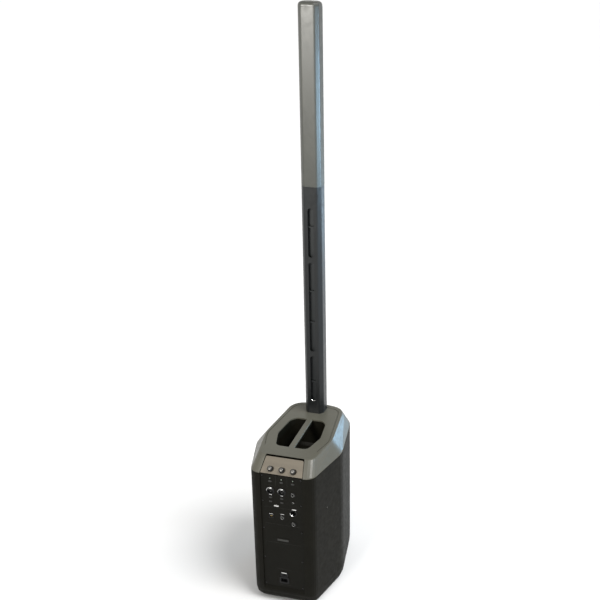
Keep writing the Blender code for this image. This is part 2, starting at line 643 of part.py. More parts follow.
def make_ports(black, metal):
    port = place(add_object("mixer_port", pad(8 * MM, 7 * MM, 0.8 * MM, -18 * MM, 0.8 * MM), black),
                 spot(*MIXER_PORT), TO_REAR)
    boolean(port, pad(6 * MM, 4.5 * MM, 0.4 * MM, -14 * MM, 5 * MM), location=port.location, turn=TO_REAR)
    inlet = place(add_object("power_inlet", pad(14 * MM, 11 * MM, 3 * MM, -24 * MM, 0.3 * MM), black),
                  spot(*INLET), TO_REAR)
    boolean(inlet, pad(17 * MM, 13 * MM, 3 * MM, 0.3 * MM, 2.3 * MM), "UNION",
            location=inlet.location, turn=TO_REAR)
    boolean(inlet, pad(12 * MM, 8 * MM, 3 * MM, -18 * MM, 8 * MM), location=inlet.location, turn=TO_REAR)
    blades = bmesh.new()
    for x, y in ((-7, 2), (0, -2), (7, 2)):
        blade = pad(MM, 2 * MM, 0.3 * MM, -19 * MM, -4 * MM)
        bmesh.ops.transform(blade, matrix=Matrix.Translation((x * MM, y * MM, 0)), verts=blade.verts)
        add_to(blades, blade)
    boolean(inlet, blades, "UNION", location=inlet.location, turn=TO_REAR)
    frame = place(add_object("switch_frame", pad(11 * MM, 7 * MM, MM, -14 * MM, 0.3 * MM), black),
                  spot(*SWITCH), TO_REAR)
    boolean(frame, pad(13 * MM, 9.2 * MM, 1.5 * MM, 0.3 * MM, 1.8 * MM), "UNION",
            location=frame.location, turn=TO_REAR)
    boolean(frame, pad(9.5 * MM, 5.8 * MM, 0.5 * MM, -12 * MM, 8 * MM), location=frame.location, turn=TO_REAR)
    rocker = [(-8.4 * MM, -3 * MM), (8.4 * MM, -3 * MM), (8.4 * MM, 3.2 * MM), (0, 1.2 * MM), (-8.4 * MM, 1.0 * MM)]
    place(add_object("power_switch", prism(rocker, "Z", -5.2 * MM, 5.2 * MM), black),
          spot(SWITCH[0], SWITCH[1], -2 * MM))
    badge = pad(20 * MM, 4 * MM, 1.5 * MM, 0.3 * MM, 1.5 * MM)
    place(add_object("badge", badge, metal), spot(0, 269 * MM), TO_REAR)


def make_electronics(board_look, metal):
    board = add_object("amplifier_board", block((-68 * MM, 184 * MM, 150 * MM), (68 * MM, 186 * MM, 486 * MM)),
                       board_look)
    parts = bmesh.new()
    for x, z, w, h, d in ((-30, 210, 24, 30, 40), (28, 200, 16, 16, 34), (34, 300, 20, 40, 22), (-34, 320, 18, 22, 30)):
        low = ((x - w) * MM, (185 - d) * MM, (z - h) * MM)
        add_to(parts, block(low, ((x + w) * MM, 185 * MM, (z + h) * MM)))
    boolean(board, parts, "UNION")
    supply = add_object("power_supply", block((-64 * MM, 60 * MM, 17 * MM), (64 * MM, 170 * MM, 60 * MM)), metal)
    fins = bmesh.new()
    for index in range(9):
        y = (70 + 11 * index) * MM
        add_to(fins, block((-60 * MM, y, 38 * MM), (60 * MM, y + 7 * MM, 70 * MM)))
    boolean(supply, fins)


# ---- column ----------------------------------------------------------------------------
def make_extension(black):
    low, high = COLUMN_FOOT_Z, JOINT_Z
    shell = add_object("extension_shell", band(column_section(), COLUMN_WALL, low, high), black)
    edges = [SLOT_BOTTOM]
    for bridge in BRIDGES:
        edges += [bridge - BRIDGE_HALF, bridge + BRIDGE_HALF]
    edges.append(SLOT_TOP)
    slots = bmesh.new()
    for bottom, top in zip(edges[::2], edges[1::2]):
        corners = [(-SLOT_HALF, bottom), (SLOT_HALF, bottom), (SLOT_HALF, top), (-SLOT_HALF, top)]
        outline = rounded([(x, z, 8.9 * MM) for x, z in corners], steps=5)
        add_to(slots, prism([(p.x, p.y) for p in outline], "Y", COLUMN_REAR_Y - 6 * MM, COLUMN_REAR_Y + 6 * MM))
    boolean(shell, slots)
    dimple = lathe([(0, -1.8 * MM), (2.5 * MM, -1.8 * MM), (2.5 * MM, 4 * MM), (0, 4 * MM)], 16)
    boolean(shell, dimple, location=(-20.5 * MM, COLUMN_REAR_Y, 1395 * MM), turn=(-pi / 2, 0, 0))
    rear = COLUMN_REAR_Y - COLUMN_WALL - GAP
    half, deep, wall = 13 * MM, 14 * MM, 2 * MM
    trough = [(-half, rear), (-half, rear - deep), (half, rear - deep), (half, rear),
              (half - wall, rear), (half - wall, rear - deep + wall),
              (-half + wall, rear - deep + wall), (-half + wall, rear)]
    channel = add_object("cable_channel", prism(trough, "Z", 615 * MM, 1352 * MM), black)
    ribs = bmesh.new()
    for index in (-1, 1, 2, 4):
        z = BRIDGES[1] - RIB_PITCH * index
        add_to(ribs, block((-half + MM, rear - deep + MM, z - 1.5 * MM), (half - MM, rear - 3 * MM, z + 1.5 * MM)))
    boolean(channel, ribs, "UNION")
    plug = loft([
        level(column_section(7 * MM), 513 * MM), level(column_section(6 * MM), 517 * MM),
        level(column_section(6 * MM), low), level(column_section(3.3 * MM), low),
        level(column_section(3.3 * MM), 606 * MM),
    ])
    add_object("extension_plug", plug, black)
    socket = add_object("extension_socket", loft([level(column_section(3.3 * MM), z)
                                                  for z in (1354 * MM, high - MM)]), black)
    boolean(socket, loft([level(column_section(8.5 * MM), z) for z in (1368 * MM, high + 5 * MM)]))


def make_array(black, steel, cone_look):
    low, high = JOINT_Z + GAP, TOP_Z - END_CAP_THICK - GAP
    split = COLUMN_REAR_Y - 46 * MM
    body = add_object("array_body", band(column_section(), COLUMN_WALL, low, high), black)
    boolean(body, block((-50 * MM, -260 * MM, low - 5 * MM), (50 * MM, split, high + 5 * MM)))
    grille = add_object("array_grille", band(column_section(), 1.5 * MM, low, high), steel)
    boolean(grille, block((-50 * MM, split - GAP, low - 5 * MM), (50 * MM, -60 * MM, high + 5 * MM)))
    plug = loft([
        level(column_section(10 * MM), 1373 * MM), level(column_section(9 * MM), 1377 * MM),
        level(column_section(9 * MM), low), level(column_section(3.3 * MM), low),
        level(column_section(3.3 * MM), 1436 * MM),
    ])
    add_object("array_plug", plug, black)
    rings = [level(column_section(), high + GAP)]
    for step in range(6):
        lift = radians(15 * step)
        inset = END_CAP_DOME * (1 - cos(lift))
        rings.append(level(column_section(inset), TOP_Z - END_CAP_DOME * (1 - sin(lift))))
    rings.append(level(column_section(END_CAP_DOME), TOP_Z))
    cap = loft(rings)
    add_object("array_cap", cap, black)
    make_drivers(black, split)


def make_drivers(black, split):
    """The driver panel: one strip that holds the eight small drivers in a line."""
    front, rear = split - 7 * MM, split + 6 * MM
    panel = add_object("driver_panel", block((-24 * MM, front, 1440 * MM), (24 * MM, rear, 1982 * MM)), black)
    magnets, dishes = bmesh.new(), bmesh.new()
    for index in range(DRIVER_COUNT):
        z = FIRST_DRIVER_Z + DRIVER_PITCH * index
        magnet = lathe([(0, -24 * MM), (13 * MM, -24 * MM), (13 * MM, MM), (0, MM)], 16)
        dish = lathe([(0, -5 * MM), (7 * MM, -7 * MM), (9 * MM, -9.5 * MM), (21 * MM, -1.5 * MM),
                      (21 * MM, 5 * MM), (0, 5 * MM)], 20)
        for shape, store in ((magnet, magnets), (dish, dishes)):
            bmesh.ops.transform(shape, matrix=Matrix.Translation((0, z, 0)), verts=shape.verts)
            add_to(store, shape)
    boolean(panel, magnets, "UNION", location=(0, rear, 0), turn=TO_FRONT)
    boolean(panel, dishes, location=(0, front, 0), turn=TO_FRONT)


def main():
    clear_scene()
    black = look("satin_black", (0.016, 0.016, 0.014), 0.45)
    grey = look("slate_grey", (0.16, 0.155, 0.135), 0.42)
    taupe = look("warm_grey", (0.20, 0.17, 0.14), 0.5)
    dark = look("panel_black", (0.02, 0.02, 0.018), 0.5)
    steel = look("grille_steel", (0.03, 0.03, 0.03), 0.45, 0.6)
    column = look("column_charcoal", (0.03, 0.033, 0.036), 0.42)
    array = look("array_grey", (0.10, 0.10, 0.095), 0.4)
    rubber = look("rubber", (0.02, 0.02, 0.02), 0.8)
    paper = look("cone_paper", (0.03, 0.03, 0.03), 0.85)
    metal = look("bright_metal", (0.6, 0.6, 0.6), 0.3, 1.0)
    knob = look("knob_black", (0.02, 0.02, 0.02), 0.5)
    button = look("button_grey", (0.12, 0.12, 0.12), 0.6)
    clear = look("clear_plastic", (0.7, 0.72, 0.7), 0.2)
    board = look("board_green", (0.02, 0.10, 0.05), 0.5)
    make_cabinet(black)
    make_front(black, steel)
    make_woofer(steel, paper, rubber, metal)
    make_feet(rubber)
    make_cap(grey)
    make_handle(black)
    make_socket(black)
    make_knob_plate(taupe)
    make_knobs(knob, metal, board)
    make_panel(dark)
    make_lights(clear)
    make_buttons(button)
    make_sockets(dark, metal)
    make_ports(dark, metal)
    make_electronics(board, metal)
    make_extension(column)
    make_array(array, steel, paper)


main()
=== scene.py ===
import json
from math import cos, pi, radians, sin, sqrt

import bmesh
import bpy
from mathutils import Matrix, Vector
from mathutils.bvhtree import BVHTree


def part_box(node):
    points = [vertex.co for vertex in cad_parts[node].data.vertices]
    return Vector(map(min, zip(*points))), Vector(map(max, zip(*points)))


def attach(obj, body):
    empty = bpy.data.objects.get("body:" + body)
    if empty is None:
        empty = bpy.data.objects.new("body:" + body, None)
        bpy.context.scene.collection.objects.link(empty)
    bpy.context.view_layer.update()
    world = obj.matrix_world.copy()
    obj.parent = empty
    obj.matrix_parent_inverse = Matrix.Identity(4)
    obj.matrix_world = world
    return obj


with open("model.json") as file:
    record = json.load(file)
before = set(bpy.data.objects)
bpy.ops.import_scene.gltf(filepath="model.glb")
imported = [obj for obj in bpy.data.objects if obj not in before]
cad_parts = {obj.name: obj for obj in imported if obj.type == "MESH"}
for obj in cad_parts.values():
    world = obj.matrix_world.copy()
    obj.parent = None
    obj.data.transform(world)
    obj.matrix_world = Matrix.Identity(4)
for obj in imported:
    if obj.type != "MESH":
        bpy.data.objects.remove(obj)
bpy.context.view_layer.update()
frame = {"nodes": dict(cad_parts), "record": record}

MM = 0.001
NODES = frame["nodes"]
TO_REAR = Matrix.Rotation(-pi / 2, 4, "X")  # turns local +Z to +Y
GLOSS_SPREAD = 0.06  # how far wear moves the roughness of a finish, either way


def centre(node):
    low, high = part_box(node)
    return (low + high) / 2


# ---- materials -------------------------------------------------------------------------
def add_node(tree, kind, **settings):
    made = tree.nodes.new(kind)
    for name, value in settings.items():
        setattr(made, name, value)
    return made


def noise(tree, scale, detail=2.0, stretch=(1, 1, 1)):
    """Noise with about `scale` grains a metre, stretched along the axes with small factors."""
    place = add_node(tree, "ShaderNodeTexCoord")
    mapping = add_node(tree, "ShaderNodeMapping")
    mapping.inputs["Scale"].default_value = stretch
    made = add_node(tree, "ShaderNodeTexNoise")
    made.inputs["Scale"].default_value = scale
    made.inputs["Detail"].default_value = detail
    tree.links.new(place.outputs["Object"], mapping.inputs["Vector"])
    tree.links.new(mapping.outputs["Vector"], made.inputs["Vector"])
    return made.outputs["Fac"]


def new_material(name, roughness, metallic=0.0, specular=0.5):
    made = bpy.data.materials.new(name)
    made.use_nodes = True
    shader = made.node_tree.nodes["Principled BSDF"]
    shader.inputs["Roughness"].default_value = roughness
    shader.inputs["Metallic"].default_value = metallic
    shader.inputs["Specular IOR Level"].default_value = specular
    return made, made.node_tree, shader


def colour_between(tree, shader, factor, dark, light):
    ramp = add_node(tree, "ShaderNodeValToRGB")
    ramp.color_ramp.elements[0].position = 0.3
    ramp.color_ramp.elements[1].position = 0.7
    ramp.color_ramp.elements[0].color = (*dark, 1)
    ramp.color_ramp.elements[1].color = (*light, 1)
    tree.links.new(factor, ramp.inputs["Fac"])
    tree.links.new(ramp.outputs["Color"], shader.inputs["Base Color"])


def roughness_between(tree, shader, factor, low, high):
    reach = add_node(tree, "ShaderNodeMapRange")
    reach.inputs["From Min"].default_value = 0.3
    reach.inputs["From Max"].default_value = 0.7
    reach.inputs["To Min"].default_value = low
    reach.inputs["To Max"].default_value = high
    tree.links.new(factor, reach.inputs["Value"])
    tree.links.new(reach.outputs["Result"], shader.inputs["Roughness"])


def relief(tree, shader, height, distance):
    bump = add_node(tree, "ShaderNodeBump")
    bump.inputs["Distance"].default_value = distance
    bump.inputs["Strength"].default_value = 1.0
    tree.links.new(height, bump.inputs["Height"])
    tree.links.new(bump.outputs["Normal"], shader.inputs["Normal"])


def shades(colour, spread):
    return [tuple(c * (1 + sign * spread) for c in colour) for sign in (-1, 1)]


def surface(name, colour, roughness, metallic=0.0, spread=0.1, cloud=14, grain=1300, depth=0.05,
            specular=0.5, stretch=(1, 1, 1)):
    """A finish with slow changes of colour and gloss, and a fine grain `depth` mm deep."""
    made, tree, shader = new_material(name, roughness, metallic, specular)
    slow = noise(tree, cloud, 4.0, stretch)
    colour_between(tree, shader, slow, *shades(colour, spread))
    fine = noise(tree, grain, 3.0, stretch)
    worn = noise(tree, cloud * 5, 5.0)
    roughness_between(tree, shader, worn, roughness - GLOSS_SPREAD, roughness + GLOSS_SPREAD)
    relief(tree, shader, fine, depth * MM)
    return made


def board_finish(name):
    """Green circuit board with paler tracks."""
    made, tree, shader = new_material(name, 0.4)
    place = add_node(tree, "ShaderNodeTexCoord")
    bricks = add_node(tree, "ShaderNodeTexBrick")
    bricks.inputs["Scale"].default_value = 60
    bricks.inputs["Color1"].default_value = (0.012, 0.09, 0.035, 1)
    bricks.inputs["Color2"].default_value = (0.016, 0.11, 0.045, 1)
    bricks.inputs["Mortar"].default_value = (0.05, 0.22, 0.09, 1)
    tree.links.new(place.outputs["Object"], bricks.inputs["Vector"])
    tree.links.new(bricks.outputs["Color"], shader.inputs["Base Color"])
    relief(tree, shader, bricks.outputs["Fac"], 0.05 * MM)
    return made


def clear_finish(name):
    """The light pipes: pale green clear plastic, unlit."""
    made, tree, shader = new_material(name, 0.18)
    shader.inputs["Transmission Weight"].default_value = 0.4
    colour_between(tree, shader, noise(tree, 300), (0.34, 0.42, 0.34), (0.42, 0.5, 0.42))
    relief(tree, shader, noise(tree, 900), 0.01 * MM)
    return made


LOOKS = {
    "satin_black": surface("satin_black", (0.0056, 0.0052, 0.0033), 0.55, depth=0.05, spread=0.16,
                           specular=0.08),
    "slate_grey": surface("slate_grey", (0.074, 0.071, 0.055), 0.36, depth=0.025, spread=0.05,
                          specular=0.45),
    "warm_grey": surface("warm_grey", (0.115, 0.098, 0.074), 0.42, 0.3, spread=0.1, cloud=30,
                         grain=900, depth=0.012, stretch=(0.06, 1, 1)),
    "panel_black": surface("panel_black", (0.0058, 0.0055, 0.0038), 0.5, grain=900, depth=0.03,
                           specular=0.08),
    "socket_black": surface("socket_black", (0.007, 0.007, 0.007), 0.34, grain=1800, depth=0.02,
                            specular=0.2),
    "grille_black": surface("grille_black", (0.004, 0.004, 0.004), 0.85, grain=900, depth=0.1,
                            specular=0.1),
    "column_charcoal": surface("column_charcoal", (0.0085, 0.0094, 0.0098), 0.34, spread=0.08,
                               depth=0.02, specular=0.3),
    "array_grey": surface("array_grey", (0.034, 0.035, 0.030), 0.4, spread=0.08, depth=0.03,
                          specular=0.45),
    "rubber_black": surface("rubber_black", (0.018, 0.018, 0.018), 0.78, grain=700, depth=0.08),
    # painted light: the cable channel is a paler charcoal than the column, lightening the shade inside
    # the slot
    "channel_painted_fill_light": surface("channel_painted_fill_light", (0.016, 0.018, 0.019), 0.5, spread=0.08,
                                depth=0.02, specular=0.3),
    "cone_black": surface("cone_black", (0.020, 0.020, 0.021), 0.7, grain=500, depth=0.12,
                          cloud=60),
    # bright_metal is the real metal of screws and release tabs, and also the colour of the
    # painted-highlight arcs and bars on the sockets, buttons, slot and switch
    "bright_metal": surface("bright_metal", (0.72, 0.72, 0.70), 0.2, 1.0, spread=0.06, grain=1600,
                            depth=0.006),
    "magnet_grey": surface("magnet_grey", (0.045, 0.045, 0.048), 0.6, 0.3, grain=600, depth=0.05),
    "basket_black": surface("basket_black", (0.02, 0.02, 0.02), 0.4, grain=700, depth=0.03),
    "knob_black": surface("knob_black", (0.008, 0.008, 0.008), 0.4, grain=1500, depth=0.03,
                          specular=0.2),
    "button_grey": surface("button_grey", (0.11, 0.11, 0.105), 0.42, grain=1200, depth=0.03),
    "heatsink_metal": surface("heatsink_metal", (0.32, 0.32, 0.33), 0.4, 0.9, grain=700,
                              depth=0.02, stretch=(0.1, 1, 1)),
    "grille_metal": surface("grille_metal", (0.016, 0.016, 0.015), 0.42, 0.2, grain=800,
                            depth=0.02, specular=0.3),
    "dark_button": surface("dark_button", (0.028, 0.028, 0.026), 0.4, grain=1200, depth=0.03,
                           specular=0.3),
    "knob_cap": surface("knob_cap", (0.13, 0.125, 0.115), 0.36, 0.6, spread=0.08, grain=900,
                        depth=0.006),
    "dark_chrome": surface("dark_chrome", (0.20, 0.20, 0.19), 0.22, 1.0, spread=0.08, grain=1400,
                           depth=0.006),
    "print_grey": surface("print_grey", (0.022, 0.022, 0.020), 0.6, grain=2000, depth=0.01),
    "screw_black": surface("screw_black", (0.03, 0.03, 0.03), 0.32, 0.7, grain=1500, depth=0.01),
    "brass": surface("brass", (0.55, 0.42, 0.20), 0.28, 1.0, grain=1500, depth=0.008),
    "badge_metal": surface("badge_metal", (0.06, 0.06, 0.056), 0.38, 0.9, grain=900, depth=0.01,
                           stretch=(0.06, 1, 1)),
    "board_green": board_finish("board_green"),
    "clear_plastic": clear_finish("clear_plastic"),
}
# Nodes whose finish is not that of their record slot.
# the cable channel takes the paler charcoal that paints light into the shaded slot
NODE_LOOKS = {"badge": "badge_metal", "cable_channel": "channel_painted_fill_light"}
NODE_LOOKS |= {f"mute_button_{i}": "dark_button" for i in (1, 2, 3)}
NODE_LOOKS |= {f"{kind}_button_{i}": "dark_button" for kind in ("tone", "reverb") for i in (1, 2)}
NODE_LOOKS |= {f"{kind}_jack": "socket_black" for kind in ("line", "monitor", "foot_switch", "aux")}
NODE_LOOKS |= {f"combo_jack_{i}": "socket_black" for i in (1, 2)}


def dress_nodes():
    """Gives each CAD node the finish of its record slot, or a closer one."""
    for row in frame["record"]["subparts"]:
        node = NODES[row["node"]]
        finish = LOOKS[NODE_LOOKS.get(row["node"], row["material_slot"])]
        if not node.material_slots:
            node.data.materials.append(finish)
        for slot in node.material_slots:
            slot.material = finish


# ---- mesh tools ------------------------------------------------------------------------
def finish_piece(name, shape, body, look, outward=True):
    """Turns a bmesh into a piece of the model that rides on a body."""
    if outward:
        bmesh.ops.recalc_face_normals(shape, faces=shape.faces)
    mesh = bpy.data.meshes.new(name)
    shape.to_mesh(mesh)
    shape.free()
    mesh.shade_smooth()
    mesh.set_sharp_from_angle(angle=radians(32))
    piece = bpy.data.objects.new(name, mesh)
    bpy.context.scene.collection.objects.link(piece)
    piece.data.materials.append(LOOKS[look])
    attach(piece, body)
    return piece


def rings(shape, loops, closed=False):
    """Skins a row of loops that have the same number of points, and caps the ends."""
    rows = [[shape.verts.new(point) for point in loop] for loop in loops]
    pairs = list(zip(rows, rows[1:]))
    if closed:
        pairs.append((rows[-1], rows[0]))
    for low, high in pairs:
        for i in range(len(low)):
            j = (i + 1) % len(low)
            shape.faces.new((low[i], low[j], high[j], high[i]))
    if not closed:
        shape.faces.new(list(reversed(rows[0])))
        shape.faces.new(rows[-1])


def turned_loops(profile, count=32, lobes=0, lobe_depth=0.0):
    """Loops of (radius, height) in mm round local Z; lobes wave the radius."""
    loops = []
    for radius, height in profile:
        loop = []
        for i in range(count):
            angle = 2 * pi * i / count
            r = radius * (1 + lobe_depth * cos(lobes * angle)) * MM
            loop.append(Vector((r * cos(angle), r * sin(angle), height * MM)))
        loops.append(loop)
    return loops


def moved(loops, matrix):
    return [[matrix @ point for point in loop] for loop in loops]


def screw_shape(shape, matrix, radius):
    """A pan-head screw with a six-lobed recess, its seat at local z 0."""
    head = turned_loops([(radius, 0), (radius, 0.25 * radius), (radius * 0.86, 0.5 * radius),
                         (radius * 0.6, 0.62 * radius)], 24)
    head += turned_loops([(radius * 0.46, 0.62 * radius), (radius * 0.43, 0.15 * radius)], 24, 6, 0.17)
    rings(shape, moved(head, matrix))


def plate_loop(half_x, half_y, radius, z, steps=5):
    """A rounded rectangle round local Z, in mm."""
    loop = []
    for quarter, (sx, sy) in enumerate(((1, 1), (-1, 1), (-1, -1), (1, -1))):
        for i in range(steps + 1):
            angle = pi / 2 * (quarter + i / steps)
            loop.append(Vector((
                (sx * (half_x - radius) + radius * cos(angle)) * MM,
                (sy * (half_y - radius) + radius * sin(angle)) * MM,
                z * MM,
            )))
    return loop


def at_panel(x, z, out=0.0):
    """A matrix that puts local +Z out of the panel's face, in metres."""
    return Matrix.Translation((x, PANEL_Y + out, z)) @ TO_REAR


def arc_band(shape, matrix, radius, width, height, start, end, steps=24):
    """A raised band along an arc, tapering to its ends. Sizes in mm, angles in degrees."""
    loops = []
    for i in range(steps + 1):
        share = i / steps
        angle = radians(start + (end - start) * share)
        full = sqrt(max(0.0, 1 - (2 * share - 1) ** 2)) * 0.9 + 0.1
        half = width / 2 * full
        loop = []
        for side, lift in ((-1, 0), (-0.55, 0.8), (0, 1), (0.55, 0.8), (1, 0), (0, -0.1)):
            r = (radius + side * half) * MM
            loop.append(matrix @ Vector((r * cos(angle), r * sin(angle), height * lift * full * MM)))
        loops.append(loop)
    rings(shape, loops)


# ---- sizes read from the frame ---------------------------------------------------------
PANEL_LOW, PANEL_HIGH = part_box("control_panel")
PANEL_Y = PANEL_HIGH.y
PANEL_HALF = PANEL_HIGH.x
COMBOS = [centre(f"combo_jack_{i}") for i in (1, 2)]
XLR = centre("xlr_output")
JACKS = [centre(name) for name in ("line_jack", "monitor_jack", "foot_switch_jack")]
AUX = centre("aux_jack")
COLUMN_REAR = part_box("extension_shell")[1].y
DECK_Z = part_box("top_cap")[1].z
PLATE_TILT = radians(45)
KNOBS = [centre(f"channel_knob_{i}") for i in (1, 2, 3)]


# ---- pieces ----------------------------------------------------------------------------
PANEL_SCREW_INSET = 6 * MM  # from the panel's long edges
PANEL_SCREW_ENDS = 7 * MM  # from its top and bottom edges
PANEL_SCREW_HEIGHTS = (0.19, 0.31, 0.42)  # of the screws between the corner ones
SIDE_FIXING_Y, SIDE_FIXING_Z = 0.132, 0.368


def panel_screws():
    """Two rows of screws down the long edges of the control panel."""
    shape = bmesh.new()
    side = PANEL_HALF - PANEL_SCREW_INSET
    ends = (PANEL_LOW.z + PANEL_SCREW_ENDS, PANEL_HIGH.z - PANEL_SCREW_ENDS)
    for z in (ends[0], *PANEL_SCREW_HEIGHTS, ends[1]):
        for x in (-side, side):
            screw_shape(shape, at_panel(x, z), 2.6)
    finish_piece("panel_screws", shape, "base", "screw_black")


def combo_details():
    """Each combo socket: a painted highlight as a bright metal arc on the upper outside of the sleeve,
    a release tab, and a painted highlight as a bright metal lower lip.
    """
    for number, at in enumerate(COMBOS, 1):
        shape = bmesh.new()
        front = at_panel(at.x, at.z, 2.15 * MM)
        # painted highlight: a bright metal arc where the sleeve's glossy edge catches the light
        arc_band(shape, front, 12.4, 2.2, 1.2, -118, 14)
        finish_piece(f"combo_rim_painted_highlight_{number}", shape, "base", "bright_metal")
        tab = bmesh.new()
        place = at_panel(at.x - 1.5 * MM, at.z + 10.2 * MM, 2.2 * MM)
        rings(tab, moved([plate_loop(5.0, 1.7, 1.2, 0), plate_loop(5.0, 1.7, 1.2, 1.4),
                          plate_loop(4.2, 1.0, 0.9, 2.2)], place))
        finish_piece(f"combo_release_{number}", tab, "base", "bright_metal")
        # painted highlight: a bright metal bar along the flange's lower edge
        lip = bmesh.new()
        place = at_panel(at.x - 1 * MM, at.z - 14.6 * MM, 0.1 * MM)
        rings(lip, moved([plate_loop(4.6, 1.5, 1.2, 0), plate_loop(4.6, 1.5, 1.2, 1.6),
                          plate_loop(3.9, 0.9, 0.8, 2.3)], place))
        finish_piece(f"combo_lip_painted_highlight_{number}", lip, "base", "bright_metal")
        contacts = bmesh.new()
        for turn in (90, 210, 330):
            hole = Matrix.Rotation(radians(turn), 4, "Z") @ Matrix.Translation((6.3 * MM, 0, 0))
            rings(contacts, moved(turned_loops([(1.3, 0), (1.3, 0.5), (0.8, 0.5), (0.8, 0.1)], 16),
                                  at_panel(at.x, at.z, -2.9 * MM) @ hole))
        finish_piece(f"combo_contacts_{number}", contacts, "base", "dark_chrome")


def xlr_details():
    """The three-pole output: a painted highlight as a bright metal arc on the sleeve edge, and a
    release tab.
    """
    shape = bmesh.new()
    # painted highlight: a bright metal arc on the upper side of the sleeve
    arc_band(shape, at_panel(XLR.x, XLR.z, 2.15 * MM), 11.2, 2.6, 1.4, -10, 100)
    finish_piece("xlr_rim_painted_highlight", shape, "base", "bright_metal")
    tab = bmesh.new()
    rings(tab, moved([plate_loop(7.5, 1.4, 1.0, 0), plate_loop(7.5, 1.4, 1.0, 1.6),
                      plate_loop(6.8, 0.8, 0.7, 2.2)],
                     at_panel(XLR.x - 3 * MM, XLR.z + 14.6 * MM, 0.1 * MM)))
    finish_piece("xlr_release", tab, "base", "bright_metal")


def jack_details():
    """Nuts in the jack sockets, two glints round each large one."""
    for number, at in enumerate(JACKS, 1):
        shape = bmesh.new()
        outer = [(4.9, 2.5), (5.6, 3.1), (5.0, 3.7), (3.9, 3.7), (3.5, 3.0), (3.5, 2.5)]
        rings(shape, moved(turned_loops(outer, 24), at_panel(at.x, at.z, 0.1 * MM)), closed=True)
        finish_piece(f"jack_nut_{number}", shape, "base", "dark_chrome")
        glints = bmesh.new()
        for start in (-78, 60):
            arc_band(glints, at_panel(at.x, at.z, 1.0 * MM), 7.6, 1.5, 0.9, start, start + 38, 8)
        finish_piece(f"jack_glint_{number}", glints, "base", "bright_metal")
    shape = bmesh.new()
    outer = [(3.0, 1.6), (3.7, 1.9), (3.2, 2.3), (2.3, 2.3), (2.0, 1.6)]
    rings(shape, moved(turned_loops(outer, 24), at_panel(AUX.x, AUX.z, 0.05 * MM)), closed=True)
    finish_piece("aux_nut", shape, "base", "dark_chrome")


def port_bars():
    """Painted highlights: bright metal bars along the upper edges over the data port and the
    foot-switch jack.
    """
    bars = bmesh.new()
    port = centre("mixer_port")
    # painted highlights: bright bars where the top edges of the ports catch the light
    for x, z in ((port.x, port.z + 9.6 * MM), (JACKS[2].x, JACKS[2].z + 13 * MM)):
        rings(bars, moved([plate_loop(6.6, 1.0, 0.9, 0), plate_loop(6.6, 1.0, 0.9, 0.7),
                           plate_loop(6.2, 0.7, 0.6, 1.1)], at_panel(x, z, 0.05 * MM)))
    finish_piece("port_edge_painted_highlights", bars, "base", "bright_metal")
    tongue = bmesh.new()
    rings(tongue, moved([plate_loop(4.2, 0.9, 0.3, -9), plate_loop(4.2, 0.9, 0.3, -1.5)],
                        at_panel(port.x, port.z, 0)))
    finish_piece("mixer_port_tongue", tongue, "base", "brass")


def phantom_bar():
    """A painted highlight: a bright metal bar on the phantom power button."""
    low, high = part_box("phantom_button")
    at = centre("phantom_button")
    shape = bmesh.new()
    half = (high.x - low.x) / 2 / MM - 0.5
    # painted highlight: the bright bar stands in for light caught by the button
    rings(shape, moved([plate_loop(half, 2.0, 1.0, 0), plate_loop(half, 2.0, 1.0, 0.35),
                        plate_loop(half - 0.5, 1.5, 0.8, 0.6)],
                       Matrix.Translation((at.x, high.y, at.z)) @ TO_REAR))
    finish_piece("phantom_button_painted_highlight", shape, "phantom_button_body", "bright_metal")


def print_line(shape, x0, z0, x1, z1, width=0.5):
    """A thin printed line on the panel between two points, in metres."""
    run = Vector((x1 - x0, 0, z1 - z0))
    middle = Vector(((x0 + x1) / 2, 0, (z0 + z1) / 2))
    upright = abs(run.z) > abs(run.x)
    turn = Matrix.Rotation(pi / 2 if upright else 0, 4, "Z")
    length = run.length / 2 / MM
    rings(shape, moved([plate_loop(length, width / 2, width / 2.2, 0),
                        plate_loop(length, width / 2, width / 2.2, 0.06)],
                       at_panel(middle.x, middle.z) @ turn))


def panel_print():
    """Thin plain lines in place of the panel's print; heights are in metres."""
    shape = bmesh.new()
    pitch = COMBOS[0].x - COMBOS[1].x
    for side in (-0.5, 0.5):
        print_line(shape, side * pitch, 0.486, side * pitch, 0.522, 0.35)
    for at in COMBOS:
        for up in (-22, 20):
            print_line(shape, at.x - 8 * MM, at.z + up * MM, at.x + 8 * MM, at.z + up * MM, 0.4)
    for z in (0.398, 0.331, 0.255):
        print_line(shape, -62 * MM, z, 62 * MM, z, 0.3)
    for z in (0.146, 0.08):
        print_line(shape, -24 * MM, z, 24 * MM, z, 0.3)
    finish_piece("panel_print", shape, "base", "print_grey")


